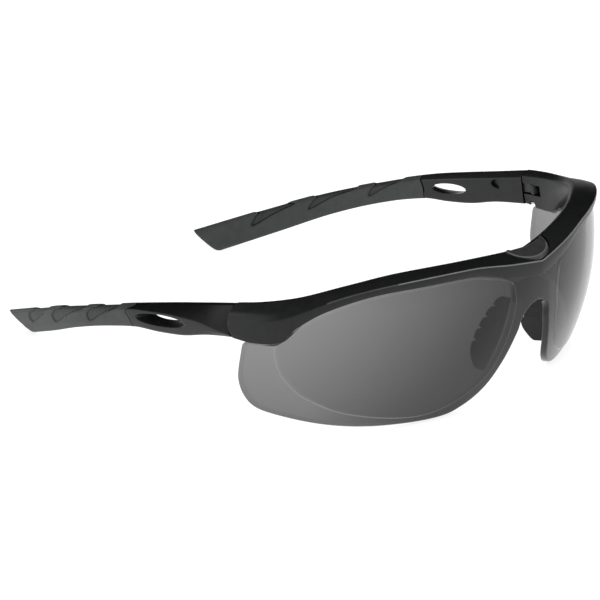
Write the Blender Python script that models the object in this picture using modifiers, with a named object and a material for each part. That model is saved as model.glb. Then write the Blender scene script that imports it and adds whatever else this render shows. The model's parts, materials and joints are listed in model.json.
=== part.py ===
"""Wrap-around safety glasses with a one-piece smoke shield, folding temples and rubber temple grips.

The pieces are drawn as worn: +X is the wearer's left, -Y is forward and +Z is up, with the origin midway
between the hinges. The empty called rest_pose then tips them onto a table, where the glasses stand on the
shield's lower edge and on the two temple tips. Lengths are in millimetres, and angles are in degrees.
"""

import math

import bmesh
import bpy
from mathutils import Vector

MM = 0.001
GAP = 0.3

# Rest on the table: the tip about X, then the shift that puts the box's bottom centre on the origin.
REST_TILT = -4.82
REST_Y = -32.37
REST_Z = 29.95

# Brow line in plan: a half ellipse from hinge to hinge.
BROW_HALF_WIDTH = 72.0
BROW_DEPTH = 62.0
BROW_Y = 2.3

# Brow section along the ellipse: heights and inward offsets at angles from the centre.
TOP_EDGE_Z = ((0, 13.2), (20, 15.6), (40, 16.6), (55, 15.3), (70, 13.1), (88, 11.6), (94, 11.5))
TOP_EDGE_IN = ((0, 7.0), (40, 7.3), (55, 6.4), (70, 4.2), (88, 2.0), (94, 2.0))
INNER_IN = ((0, 8.6), (45, 8.8), (70, 7.2), (88, 6.4), (94, 6.4))
CREASE_Z = ((0, 9.6), (10, 12.0), (22, 14.7), (42, 15.2), (56, 13.3), (73, 7.8), (88, 5.8), (94, 5.8))
LIP_Z = (
    (0, 4.5), (10, 7.7), (20, 11.5), (35, 12.6), (48, 12.3), (60, 9.3),
    (68, 5.0), (73, 0.6), (80, -0.1), (88, 1.0), (94, 1.4),
)
GROOVE_DEEP = 1.8
GROOVE_SHALLOW = 0.3
GROOVE_END = (62, 70)
LIP_WALL = 0.9
INNER_WALL = 1.8
INNER_DROP = 1.2
FRAME_END = 94
FRAME_STATIONS = 54
SEAM_Y = -0.3
SEAM_CUT_LOW = (50, SEAM_Y, -8)
SEAM_CUT_HIGH = (80, 12, 24)

# Shield: a toric sheet just behind the brow line.
SHIELD_IN = 2.1
SHIELD_THICK = 2.2
SHIELD_LEVEL = 10.0
SHIELD_LEAN = 0.026
SHIELD_BOW = 0.0079
SHIELD_FLARE = 0.057
SHIELD_END = 86.0
SHIELD_TAB = 74.0
SHIELD_TAB_TOP = -0.45
SHIELD_BOTTOM = (
    (6.6, -13.3), (8.7, -20.3), (12, -27.3), (17, -31.6), (23.5, -33), (40, -30.8), (53, -28),
    (67, -24), (77, -20.8), (82.2, -17), (85.2, -12.5), (86, -8.5),
)
NOTCH_RADIUS = 6.6
NOTCH_TOP = -3.5
SHIELD_HALF_STATIONS = 34
SHIELD_ROWS = 11
SHIELD_BUNCHING = 0.62

# Cap on the bridge.
CAP_HALF_WIDTH = 8.6
CAP_FRONT_Y = -59.0
CAP_REAR_Y = -52.6
CAP_THICK = 1.2
CAP_PEG_RADIUS = 1.0
CAP_PEG_LONG = 1.6
CAP_SLOPE = 27.0
CAP_LEVEL = 14.2
CAP_STATIONS = 20
RECESS_HIGH = 8.0
PEG_HOLE_Z = (7.6, 20.0)

# Nose clip and pads behind the shield.
CLIP_HALF_ANGLE = 5.5
CLIP_Z = (-2.4, 3.6)
CLIP_THICK = 2.0
CLIP_STATIONS = 12
PAD_Z = (-0.4, -22.0)
PAD_FRONT_X = ((0, 8.2), (0.5, 10.8), (1, 13.8))
PAD_SPLAY = -0.6
PAD_REAR_Y = ((0, -46.2), (0.25, -42.5), (0.55, -39.6), (0.8, -38.6), (1, -40.2))
PAD_THICK = 1.8
PAD_REAR_SHARE = 0.5
PAD_STANDOFF = 0.9
PAD_STATIONS = 12

# Hinge: a tongue on each arm turns on a steel pin in the frame's slot.
HINGE_X = 67.0
HINGE_Y = -3.6
PIN_RADIUS = 0.8
PIN_CLEARANCE = 0.2
PIN_Z = (2.0, 9.4)
PIN_HEAD_RADIUS = 1.5
PIN_HEAD_Z = (1.2, 2.0)
TONGUE_Z = (4.7, 7.7)
TONGUE_EYE_RADIUS = 1.8
TONGUE_X = (66.4, 68.8)
TONGUE_REAR_Y = 6.5
SLOT_LOW_X = 60.0
SLOT_OUTER_X = 69.4
SLOT_Y = (-8.0, 2.0)
SINK_Z = -4.0
POCKET_FRONT_Y = -2.0

# Temples, as functions of the distance along them from the hinge seam.
ARM_START = 0.15
ARM_INNER_X = 65.6
ARM_STATIONS = 14
GRIP_START = 42.0
GRIP_STATIONS = 26
TEMPLE_END = 124.6
TIP_ROUND = 0.6
TIP_PAST = 0.5
TEMPLE_OUTER_X = (
    (0, 71.9), (14, 72.0), (28, 71.4), (42, 70.4), (60, 67.3), (80, 62.3), (102, 54.4), (125, 44.8),
)
TEMPLE_WIDTH = ((42, 4.8), (60, 4.4), (80, 4.0), (100, 3.4), (125, 2.5))
TEMPLE_TOP_Z = (
    (0, 11.4), (14, 9.8), (28, 8.1), (42, 6.1), (60, 2.7), (80, -1.6), (100, -6.9), (125, -14.1),
)
TEMPLE_BOTTOM_Z = (
    (0, 0.9), (12, 0.3), (22, -1.2), (32, -1.6), (42, -1.5),
    (60, -4.2), (80, -8.5), (100, -13.9), (125, -20.5),
)
CREASE_SHARE = (
    (0, 0.10), (7, 0.25), (14, 0.45), (20, 0.58), (27, 0.68), (42, 0.77), (60, 0.72), (125, 0.62),
)
LEAN_SHARE = ((0, 0.38), (12, 0.46), (27, 0.44), (42, 0.36), (125, 0.34))
INNER_TOP_DROP = 0.22
TEMPLE_BEVEL = 0.9
TIP_SLANT = 10.0
SLANT_END = 30.0
VENT_X = 68.0
VENT_REACH = 14.0
VENT_Y = 31.4
VENT_Z = 2.6
VENT_LONG = 11.6
VENT_HIGH = 2.5
SCOOP_LONG = 19.0
SCOOP_HIGH = 4.6
SCOOP_DROP = 0.4
SCOOP_DEEP = 1.3
CORE_START = 39.0
CORE_END = 56.0
CORE_WALL = 1.3
SOCKET_WALL = 1.0

PALETTE = {
    "black_nylon": ((0.013, 0.014, 0.014), 0.42, 0.0),
    "cap_nylon": ((0.020, 0.021, 0.020), 0.45, 0.0),
    "grip_rubber": ((0.050, 0.054, 0.054), 0.62, 0.0),
    "pad_rubber": ((0.018, 0.018, 0.018), 0.60, 0.0),
    "smoke_polycarbonate": ((0.13, 0.13, 0.13), 0.05, 0.0),
    "tongue_nylon": ((0.075, 0.078, 0.078), 0.45, 0.0),
    "steel": ((0.55, 0.55, 0.56), 0.30, 1.0),
}


def clear_scene():
    for obj in list(bpy.data.objects):
        bpy.data.objects.remove(obj, do_unlink=True)


def collection(name):
    made = bpy.data.collections.new(name)
    bpy.context.scene.collection.children.link(made)
    return made


def material(name):
    colour, roughness, metallic = PALETTE[name]
    made = bpy.data.materials.get(name) or bpy.data.materials.new(name)
    made.use_nodes = True
    shader = made.node_tree.nodes["Principled BSDF"]
    shader.inputs["Base Color"].default_value = (*colour, 1.0)
    shader.inputs["Roughness"].default_value = roughness
    shader.inputs["Metallic"].default_value = metallic
    return made


def along(stations, place):
    """A smooth curve through the stations, read at one place. It stays level past both ends."""
    if place <= stations[0][0]:
        return stations[0][1]
    if place >= stations[-1][0]:
        return stations[-1][1]
    last = len(stations) - 1
    i = next(k for k in range(last) if place <= stations[k + 1][0])
    slopes = []
    for k in (i, i + 1):
        before, after = stations[max(k - 1, 0)], stations[min(k + 1, last)]
        slopes.append((after[1] - before[1]) / (after[0] - before[0]))
    (a, low), (b, high) = stations[i], stations[i + 1]
    u = (place - a) / (b - a)
    return (
        low * (2 * u**3 - 3 * u**2 + 1)
        + high * (3 * u**2 - 2 * u**3)
        + slopes[0] * (b - a) * (u**3 - 2 * u**2 + u)
        + slopes[1] * (b - a) * (u**3 - u**2)
    )


def step(low, high, place):
    """0 below low, 1 above high, and smooth between them."""
    u = min(max((place - low) / (high - low), 0.0), 1.0)
    return u * u * (3 - 2 * u)


# ---------------------------------------------------------------- surfaces


def brow_point(angle, inward, z):
    t = math.radians(angle)
    return Vector(((BROW_HALF_WIDTH - inward) * math.sin(t), BROW_Y - (BROW_DEPTH - inward) * math.cos(t), z))


def shield_point(angle, inward, z):
    """A point on the shield's front face, or that far behind it."""
    down = z - SHIELD_LEVEL
    point = brow_point(angle, SHIELD_IN + inward, z)
    point.x -= SHIELD_FLARE * down * math.sin(math.radians(angle))
    point.y += SHIELD_BOW * down * down - SHIELD_LEAN * down
    return point


def groove_depth(angle):
    return GROOVE_DEEP + (GROOVE_SHALLOW - GROOVE_DEEP) * step(*GROOVE_END, abs(angle))


def shield_top(angle):
    if abs(angle) > SHIELD_TAB:
        return SHIELD_TAB_TOP
    return along(LIP_Z, abs(angle)) + groove_depth(angle) - GAP


def shield_bottom(angle):
    """The notch over the nose is an arch, which runs into the lower edge."""
    side = abs(angle)
    across = brow_point(side, SHIELD_IN, 0).x
    arch = NOTCH_RADIUS**2 - across**2
    if arch > 0:
        return NOTCH_TOP - NOTCH_RADIUS + math.sqrt(arch)
    crown = math.degrees(math.asin(NOTCH_RADIUS / BROW_HALF_WIDTH))
    return along(((crown, NOTCH_TOP - NOTCH_RADIUS), *SHIELD_BOTTOM), side)


# ---------------------------------------------------------------- mesh helpers


def finish(mesh_builder, name, paint, group, parent):
    """Turns a bmesh in millimetres into a named object under its parent."""
    bmesh.ops.recalc_face_normals(mesh_builder, faces=mesh_builder.faces)
    bmesh.ops.scale(mesh_builder, vec=(MM, MM, MM), verts=mesh_builder.verts)
    mesh = bpy.data.meshes.new(name)
    mesh_builder.to_mesh(mesh)
    mesh_builder.free()
    obj = bpy.data.objects.new(name, mesh)
    group.objects.link(obj)
    hang(obj, parent)
    if paint:
        mesh.materials.append(material(paint))
        mesh.shade_smooth()
        mesh.set_sharp_from_angle(angle=math.radians(35))
    return obj


def hang(obj, parent):
    """Parents an object whose mesh is drawn in worn coordinates."""
    obj.parent = parent
    if parent.parent:
        obj.location = -parent.location


def loft(rings, name, paint, group, parent):
    """A closed body through rings of equal length, with flat ends."""
    bm = bmesh.new()
    loops = [[bm.verts.new(point) for point in ring] for ring in rings]
    for near, far in zip(loops, loops[1:]):
        for i in range(len(near)):
            j = (i + 1) % len(near)
            bm.faces.new((near[i], near[j], far[j], far[i]))
    bm.faces.new(reversed(loops[0]))
    bm.faces.new(loops[-1])
    return finish(bm, name, paint, group, parent)


def box(low, high, name, group, parent, paint=None):
    bm = bmesh.new()
    bmesh.ops.create_cube(bm, size=1.0)
    low, high = Vector(low), Vector(high)
    bmesh.ops.scale(bm, vec=high - low, verts=bm.verts)
    bmesh.ops.translate(bm, vec=(low + high) / 2, verts=bm.verts)
    return finish(bm, name, paint, group, parent)


def post(centre, radius, heights, name, group, parent, sides=20):
    low, high = heights
    bm = bmesh.new()
    bmesh.ops.create_cone(
        bm, cap_ends=True, segments=sides, radius1=radius, radius2=radius, depth=high - low
    )
    bmesh.ops.translate(bm, vec=(centre[0], centre[1], (low + high) / 2), verts=bm.verts)
    return finish(bm, name, None, group, parent)


def ellipsoid(centre, radii, name, group, parent):
    bm = bmesh.new()
    bmesh.ops.create_uvsphere(bm, u_segments=20, v_segments=12, radius=1.0)
    bmesh.ops.scale(bm, vec=radii, verts=bm.verts)
    bmesh.ops.translate(bm, vec=centre, verts=bm.verts)
    return finish(bm, name, None, group, parent)


def as_cutter(obj):
    obj.hide_render = True
    obj.display_type = "WIRE"
    return obj


def combine(obj, other, operation):
    modifier = obj.modifiers.new(other.name, "BOOLEAN")
    modifier.operation = operation
    modifier.object = as_cutter(other)


# ---------------------------------------------------------------- front


def brow_ring(angle):
    side = abs(angle)
    lip = along(LIP_Z, side)
    roof = lip + groove_depth(side)
    top = along(TOP_EDGE_Z, side)
    inner = along(INNER_IN, side)
    sheet = SHIELD_THICK + GAP
    return [
        brow_point(angle, 0, along(CREASE_Z, side)),
        shield_point(angle, -GAP - LIP_WALL, lip),
        shield_point(angle, -GAP, lip),
        shield_point(angle, -GAP, roof),
        shield_point(angle, sheet, roof),
        shield_point(angle, sheet, lip),
        shield_point(angle, sheet + INNER_WALL, lip),
        brow_point(angle, inner, top - INNER_DROP),
        brow_point(angle, along(TOP_EDGE_IN, side), top),
    ]


def front_frame(parts, cutters, rest):
    rings = []
    for i in range(FRAME_STATIONS + 1):
        rings.append(brow_ring(FRAME_END * (2 * i / FRAME_STATIONS - 1)))
    frame = loft(rings, "front_frame", "black_nylon", parts, rest)
    for side in (-1, 1):
        tag = "left" if side > 0 else "right"
        ends = box(SEAM_CUT_LOW, SEAM_CUT_HIGH, f"cut_end_{tag}", cutters, rest)
        mirror_to(side, ends)
        combine(frame, ends, "DIFFERENCE")
        slot = box(
            (SLOT_LOW_X, SLOT_Y[0], TONGUE_Z[0] - GAP),
            (SLOT_OUTER_X, SLOT_Y[1], TONGUE_Z[1] + GAP),
            f"cut_slot_{tag}",
            cutters,
            rest,
        )
        mirror_to(side, slot)
        combine(frame, slot, "DIFFERENCE")
        centre = (side * HINGE_X, HINGE_Y)
        bore_heights = (PIN_HEAD_Z[0], PIN_Z[1] + GAP)
        bore = post(centre, PIN_RADIUS + PIN_CLEARANCE, bore_heights, f"cut_pin_{tag}", cutters, rest)
        combine(frame, bore, "DIFFERENCE")
        sink_heights = (SINK_Z, PIN_HEAD_Z[1] + GAP)
        sink = post(centre, PIN_HEAD_RADIUS + GAP, sink_heights, f"cut_head_{tag}", cutters, rest)
        combine(frame, sink, "DIFFERENCE")
    recess = cap_shape(GAP, -CAP_THICK - GAP, RECESS_HIGH, "cut_recess", cutters, rest)
    combine(frame, recess, "DIFFERENCE")
    middle = (0, (CAP_FRONT_Y + CAP_REAR_Y) / 2)
    peg_hole = post(middle, CAP_PEG_RADIUS + GAP, PEG_HOLE_Z, "cut_peg", cutters, rest)
    combine(frame, peg_hole, "DIFFERENCE")
    return frame


def mirror_to(side, obj):
    """Flips a mesh drawn on the left across the middle for the right side."""
    if side > 0:
        return
    for vertex in obj.data.vertices:
        vertex.co.x = -vertex.co.x
    obj.data.flip_normals()


def shield_angles():
    """Station angles, closer together at the nose notch and at the two ends."""
    found = []
    for i in range(-SHIELD_HALF_STATIONS, SHIELD_HALF_STATIONS + 1):
        u = i / SHIELD_HALF_STATIONS
        found.append(SHIELD_END * (u - SHIELD_BUNCHING * math.sin(2 * math.pi * u) / (2 * math.pi)))
    return found


def shield(parts, rest):
    rings = []
    for angle in shield_angles():
        top, bottom = shield_top(angle), shield_bottom(angle)
        heights = [top + (bottom - top) * k / SHIELD_ROWS for k in range(SHIELD_ROWS + 1)]
        front = [shield_point(angle, 0, z) for z in heights]
        back = [shield_point(angle, SHIELD_THICK, z) for z in reversed(heights)]
        rings.append(front + back)
    return loft(rings, "shield_lens", "smoke_polycarbonate", parts, rest)


def cap_shape(grow, low, high, name, group, rest, paint=None):
    """A D-shaped plate, straight at the rear and round in front, which slopes with the bridge."""
    slope = math.tan(math.radians(CAP_SLOPE))
    outline = []
    for i in range(CAP_STATIONS + 1):
        turn = math.pi * i / CAP_STATIONS
        x = (CAP_HALF_WIDTH + grow) * math.cos(turn)
        y = CAP_REAR_Y - (CAP_REAR_Y - CAP_FRONT_Y + grow) * math.sin(turn)
        outline.append((x, y))
    outline[0] = (outline[0][0], outline[0][1] + grow)
    outline[-1] = (outline[-1][0], outline[-1][1] + grow)
    rings = []
    for level in (low, high):
        rings.append([Vector((x, y, CAP_LEVEL + level + slope * (y - CAP_REAR_Y))) for x, y in outline])
    return loft(rings, name, paint, group, rest)


def bridge_cap(parts, cutters, rest):
    cap = cap_shape(0, -CAP_THICK, 0, "bridge_cap", parts, rest, "cap_nylon")
    middle = (CAP_FRONT_Y + CAP_REAR_Y) / 2
    level = CAP_LEVEL + math.tan(math.radians(CAP_SLOPE)) * (middle - CAP_REAR_Y) - CAP_THICK / 2
    heights = (level - CAP_THICK - CAP_PEG_LONG, level)
    peg = post((0, middle), CAP_PEG_RADIUS, heights, "add_peg", cutters, rest, sides=12)
    combine(cap, peg, "UNION")
    return cap


def nose_clip(parts, rest):
    rings = []
    low, high = CLIP_Z
    for i in range(CLIP_STATIONS + 1):
        angle = CLIP_HALF_ANGLE * (2 * i / CLIP_STATIONS - 1)
        near, far = SHIELD_THICK + GAP, SHIELD_THICK + GAP + CLIP_THICK
        rings.append(
            [
                shield_point(angle, near, high),
                shield_point(angle, near, low),
                shield_point(angle, far, low),
                shield_point(angle, far, high),
            ]
        )
    return loft(rings, "nose_clip", "black_nylon", parts, rest)


def nose_pad(side, parts, rest):
    rings = []
    for i in range(PAD_STATIONS + 1):
        v = i / PAD_STATIONS
        z = PAD_Z[0] + (PAD_Z[1] - PAD_Z[0]) * v
        front_x = along(PAD_FRONT_X, v)
        angle = math.degrees(math.asin(front_x / (BROW_HALF_WIDTH - SHIELD_IN)))
        front_y = shield_point(angle, SHIELD_THICK, z).y + PAD_STANDOFF
        rear_x, rear_y = front_x + PAD_SPLAY, along(PAD_REAR_Y, v)
        across = Vector((front_y - rear_y, rear_x - front_x, 0)).normalized() * PAD_THICK
        front, rear = Vector((front_x, front_y, z)), Vector((rear_x, rear_y, z))
        middle = (front + rear) / 2
        ring = [front, middle, rear, rear - across * PAD_REAR_SHARE, middle - across, front - across]
        rings.append([Vector((side * p.x, p.y, p.z)) for p in ring])
    tag = "left" if side > 0 else "right"
    return loft(rings, f"nose_pad_{tag}", "pad_rubber", parts, rest)


# ---------------------------------------------------------------- temples


def temple_ring(s, shrink=0.0, inner=None):
    """The temple's section at distance s, or one that lies that much inside it."""
    outer_x = along(TEMPLE_OUTER_X, s) - shrink
    inner_x = (inner if inner is not None else outer_x + shrink - along(TEMPLE_WIDTH, s)) + shrink
    top, bottom = along(TEMPLE_TOP_Z, s) - shrink, along(TEMPLE_BOTTOM_Z, s) + shrink
    crease = bottom + along(CREASE_SHARE, s) * (top - bottom)
    width = outer_x - inner_x
    bevel = min(0.25 * width, TEMPLE_BEVEL)
    lean = along(LEAN_SHARE, s) * width
    slant_end = TEMPLE_END + SLANT_END
    slant = TIP_SLANT * step(GRIP_START, slant_end, s) / step(GRIP_START, slant_end, TEMPLE_END)
    points = [
        (inner_x, top - INNER_TOP_DROP * width),
        (outer_x - lean, top),
        (outer_x, crease),
        (outer_x - 0.1 * bevel, bottom + bevel),
        (outer_x - bevel, bottom),
        (inner_x + bevel, bottom),
        (inner_x, bottom + bevel),
    ]
    ring = []
    for x, z in points:
        down = (top - z) / (top - bottom)
        ring.append(Vector((x, s - slant * down, z)))
    return ring


def mirrored(rings, side):
    return [[Vector((side * p.x, p.y, p.z)) for p in ring] for ring in rings]


def temple_arm(side, parts, cutters, hinge):
    tag = "left" if side > 0 else "right"
    length = GRIP_START - GAP - ARM_START
    stations = [ARM_START + length * i / ARM_STATIONS for i in range(ARM_STATIONS + 1)]
    rings = [temple_ring(s, inner=ARM_INNER_X) for s in stations]
    arm = loft(mirrored(rings, side), f"temple_arm_{tag}", "black_nylon", parts, hinge)
    core_stations = [CORE_START, (CORE_START + CORE_END) / 2, CORE_END]
    core_rings = [temple_ring(s, shrink=CORE_WALL) for s in core_stations]
    core = loft(mirrored(core_rings, side), f"add_core_{tag}", None, cutters, hinge)
    combine(arm, core, "UNION")
    vent = ellipsoid(
        (side * VENT_X, VENT_Y, VENT_Z),
        (VENT_REACH, VENT_LONG / 2, VENT_HIGH / 2),
        f"cut_vent_{tag}",
        cutters,
        hinge,
    )
    combine(arm, vent, "DIFFERENCE")
    scoop_x = along(TEMPLE_OUTER_X, VENT_Y)
    scoop = ellipsoid(
        (side * scoop_x, VENT_Y, VENT_Z - SCOOP_DROP),
        (SCOOP_DEEP, SCOOP_LONG / 2, SCOOP_HIGH / 2),
        f"cut_scoop_{tag}",
        cutters,
        hinge,
    )
    combine(arm, scoop, "DIFFERENCE")
    pocket = box(
        (TONGUE_X[0] - GAP, POCKET_FRONT_Y, TONGUE_Z[0] - GAP),
        (TONGUE_X[1] + GAP, TONGUE_REAR_Y + GAP, TONGUE_Z[1] + GAP),
        f"cut_pocket_{tag}",
        cutters,
        hinge,
    )
    mirror_to(side, pocket)
    combine(arm, pocket, "DIFFERENCE")
    return arm


def temple_grip(side, parts, cutters, hinge):
    tag = "left" if side > 0 else "right"
    length = TEMPLE_END - GRIP_START
    stations = [GRIP_START + length * i / GRIP_STATIONS for i in range(GRIP_STATIONS + 1)]
    rings = [temple_ring(s) for s in stations]
    rings.append([p + Vector((0, TIP_PAST, 0)) for p in temple_ring(TEMPLE_END, shrink=TIP_ROUND)])
    grip = loft(mirrored(rings, side), f"temple_grip_{tag}", "grip_rubber", parts, hinge)
    socket_stations = [CORE_START, (CORE_START + CORE_END) / 2, CORE_END + GAP]
    socket_rings = [temple_ring(s, shrink=SOCKET_WALL) for s in socket_stations]
    socket = loft(mirrored(socket_rings, side), f"cut_socket_{tag}", None, cutters, hinge)
    combine(grip, socket, "DIFFERENCE")
    return grip


def hinge_tongue(side, parts, cutters, hinge):
    tag = "left" if side > 0 else "right"
    tongue = box(
        (TONGUE_X[0], HINGE_Y, TONGUE_Z[0]),
        (TONGUE_X[1], TONGUE_REAR_Y, TONGUE_Z[1]),
        f"hinge_tongue_{tag}",
        parts,
        hinge,
        "tongue_nylon",
    )
    mirror_to(side, tongue)
    centre = (side * HINGE_X, HINGE_Y)
    eye = post(centre, TONGUE_EYE_RADIUS, TONGUE_Z, f"add_eye_{tag}", cutters, hinge, sides=24)
    combine(tongue, eye, "UNION")
    heights = (TONGUE_Z[0] - GAP, TONGUE_Z[1] + GAP)
    bore = post(centre, PIN_RADIUS + PIN_CLEARANCE, heights, f"cut_eye_{tag}", cutters, hinge)
    combine(tongue, bore, "DIFFERENCE")
    return tongue


def hinge_pin(side, parts, rest):
    """A headed steel pin, turned about its own axis."""
    tag = "left" if side > 0 else "right"
    profile = [
        (0.0, PIN_Z[1]),
        (PIN_RADIUS * 0.7, PIN_Z[1]),
        (PIN_RADIUS, PIN_Z[1] - 0.3),
        (PIN_RADIUS, PIN_HEAD_Z[1]),
        (PIN_HEAD_RADIUS, PIN_HEAD_Z[1]),
        (PIN_HEAD_RADIUS, PIN_HEAD_Z[0] + 0.2),
        (PIN_HEAD_RADIUS - 0.2, PIN_HEAD_Z[0]),
        (0.0, PIN_HEAD_Z[0]),
    ]
    mesh = bpy.data.meshes.new(f"hinge_pin_{tag}")
    points = [(x * MM, 0, z * MM) for x, z in profile]
    mesh.from_pydata(points, [(i, i + 1) for i in range(len(points) - 1)], [])
    pin = bpy.data.objects.new(f"hinge_pin_{tag}", mesh)
    parts.objects.link(pin)
    pin.parent = rest
    pin.location = (side * HINGE_X * MM, HINGE_Y * MM, 0)
    turn = pin.modifiers.new("turn", "SCREW")
    turn.steps = turn.render_steps = 20
    turn.use_merge_vertices = True
    turn.merge_threshold = 0.00001
    turn.use_smooth_shade = True
    mesh.materials.append(material("steel"))
    return pin


def empty(name, location, group, parent=None):
    made = bpy.data.objects.new(name, None)
    made.empty_display_size = 5 * MM
    group.objects.link(made)
    made.parent = parent
    made.location = [value * MM for value in location]
    return made


def main():
    clear_scene()
    parts, cutters = collection("safety_glasses"), collection("cutters")
    rest = empty("rest_pose", (0, REST_Y, REST_Z), parts)
    rest.rotation_euler.x = math.radians(REST_TILT)
    front_frame(parts, cutters, rest)
    shield(parts, rest)
    bridge_cap(parts, cutters, rest)
    nose_clip(parts, rest)
    for side in (-1, 1):
        tag = "left" if side > 0 else "right"
        nose_pad(side, parts, rest)
        hinge_pin(side, parts, rest)
        hinge = empty(f"hinge_axis_{tag}", (side * HINGE_X, HINGE_Y, 0), parts, rest)
        temple_arm(side, parts, cutters, hinge)
        temple_grip(side, parts, cutters, hinge)
        hinge_tongue(side, parts, cutters, hinge)


main()
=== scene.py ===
import json
import math

import bmesh
import bpy
import numpy as np
from mathutils import Matrix, Vector


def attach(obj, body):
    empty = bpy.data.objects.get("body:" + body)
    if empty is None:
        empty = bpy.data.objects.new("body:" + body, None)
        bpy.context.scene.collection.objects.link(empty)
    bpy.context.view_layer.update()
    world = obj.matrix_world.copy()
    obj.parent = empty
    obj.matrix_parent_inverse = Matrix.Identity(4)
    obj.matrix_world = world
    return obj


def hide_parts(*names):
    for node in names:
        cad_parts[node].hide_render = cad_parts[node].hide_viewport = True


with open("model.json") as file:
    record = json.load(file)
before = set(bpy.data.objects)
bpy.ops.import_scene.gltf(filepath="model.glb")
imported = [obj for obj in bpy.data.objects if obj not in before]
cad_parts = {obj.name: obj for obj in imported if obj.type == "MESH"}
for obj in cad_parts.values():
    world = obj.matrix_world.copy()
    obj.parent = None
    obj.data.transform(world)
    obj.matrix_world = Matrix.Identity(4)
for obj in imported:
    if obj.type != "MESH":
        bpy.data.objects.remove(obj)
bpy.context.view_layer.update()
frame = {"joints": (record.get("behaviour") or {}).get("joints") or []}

# Looks of the wrap-around safety glasses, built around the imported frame.
# Shapes are drawn as worn, in millimetres: +X is the wearer's left, -Y is forward and +Z is up, with the
# origin midway between the hinges. PLACE then puts them on the table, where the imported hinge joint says.

MM = 0.001
GAP = 0.3
MERGE = 0.00002

# Brow line in plan: a half ellipse from hinge to hinge.
BROW_HALF_WIDTH = 72.0
BROW_DEPTH = 62.0
BROW_Y = 2.3

# Brow section along the ellipse: heights and inward offsets at angles from the centre.
TOP_EDGE_Z = ((0, 13.2), (20, 15.6), (40, 16.6), (55, 15.3), (70, 13.1), (88, 11.6), (94, 11.5))
TOP_EDGE_IN = ((0, 7.0), (40, 7.3), (55, 6.4), (70, 4.2), (88, 2.0), (94, 2.0))
INNER_IN = ((0, 8.6), (45, 8.8), (70, 7.2), (88, 6.4), (94, 6.4))
CREASE_Z = ((0, 9.6), (10, 12.0), (22, 14.7), (42, 15.2), (56, 13.3), (73, 7.8), (88, 5.8), (94, 5.8))
LIP_Z = (
    (0, 4.5), (10, 7.7), (20, 11.5), (35, 12.6), (48, 12.3), (60, 9.3),
    (68, 5.0), (73, 0.6), (80, -0.1), (88, 1.0), (94, 1.4),
)
GROOVE_DEEP = 1.8
GROOVE_SHALLOW = 0.3
GROOVE_END = (62, 70)
LIP_WALL = 0.9
INNER_WALL = 1.8
INNER_DROP = 1.2
LIP_CROWN = 0.2
SEAM_Y = -0.3
FRAME_STATIONS = 200
FRAME_SEGMENTS = 4
# Faces of the crease's rounding that carry a painted highlight: bright out to the first angle from the
# centre, dim out to the second.
CREST_HIGHLIGHT_FACES = (1, 2, 3)
BRIGHT_HIGHLIGHT_END = 42.0
HIGHLIGHT_END = 60.0
FRAME_CROWN = (0.35, 0.15)

# Rounding of the brow section's corners, which grows from the first angle to the second.
CREASE_ROUND = (0.35, 0.5)
CREASE_ROUND_ANGLES = (50, 85)
TOP_ROUND = (1.1, 0.5)
TOP_ROUND_ANGLES = (50, 80)
GROOVE_RADII = (0.3, 0.12, 0.1, 0.1, 0.25, 0.6, 0.7)
CROWN_SHARE = (0.4, 0.9)
CROWN_ANGLES = (40, 80)

# The two halves of each hinge seam bow towards the temple tip on the outer face only.
SEAM_BOW = ((1.0, 1.2), (3.5, 2.4), (6.0, 2.4), (8.5, 1.7), (11.0, 0.4), (12.5, 0.0))
SEAM_INNER_X = 67.0
SEAM_OUTER_X = 70.5
SEAM_REACH = 14.0
SEAM_FLAT = 6.0
GRIP_BOW_OUTER = ((0.0, -1.6), (0.27, 3.0), (0.6, 2.2), (1.0, 1.0))
GRIP_BOW_INNER = ((0.0, 0.7), (0.48, -0.8), (1.0, -0.8))
GRIP_BOW_REACH = 12.0

# Shield: a toric sheet just behind the brow line, with a raised pane on each side. Its outlines are pairs
# of an angle round the brow's centre and a height.
SHIELD_IN = 2.1
SHIELD_THICK = 2.2
SHIELD_LEVEL = 10.0
SHIELD_LEAN = 0.026
SHIELD_BOW = 0.0079
SHIELD_FLARE = 0.057
SHIELD_TAB = 74.0
SHIELD_BOTTOM = (
    (8.7, -20.3), (12, -27.3), (17, -31.6), (23.5, -33), (40, -30.8), (53, -28), (67, -24), (77, -20.8),
)
SHIELD_OUTER = (
    (77, -20.8), (82.2, -17), (85.2, -12.5), (86, -8.5), (85.9, -3.5), (85.6, -1.1), (85.0, -0.5),
    (84.0, -0.4), (74.6, -0.45),
)
CURVE_STEPS = 10
NOSE_POINTS = 27
NOTCH_RADIUS = 6.6
NOTCH_TOP = -3.5
SHIELD_EDGE = 0.55
PANE_RISE = 0.45
PANE_NOSE = (
    (10.9, 7.2), (9.1, 5.6), (8.2, 2.6), (7.9, -2.5), (8.6, -7.6), (9.8, -14.4), (12.2, -21.5), (14.9, -25.2),
)
PANE_BOTTOM = (
    (14.9, -25.2), (19.3, -28.4), (24.5, -30.2), (30, -30.4), (37, -29), (47, -25.9),
    (55.4, -22.5), (65.5, -16.8),
)
PANE_OUTER = (
    (65.5, -16.8), (71.6, -10.8), (74.3, -5.7), (75.0, -2.7), (74.5, -0.2), (72.8, 1.0), (71.4, 2.3),
)
PANE_LIP_GAP = 0.45
PANE_LIP_ANGLES = (70.3, 20.5)
PANE_BEVEL = ((0.15, 0.02), (0.5, 0.5), (0.85, 0.98), (1.0, 1.0))
SHIELD_ROWS = 44
SHIELD_COLUMNS = 84
SHIELD_MARGIN_ROWS = 12
DEGREE = 1.18
PANE_TOP_NEAR = ((18.5, 10.55), (15.2, 9.2), (12.8, 8.3), (10.9, 7.2))

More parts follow.
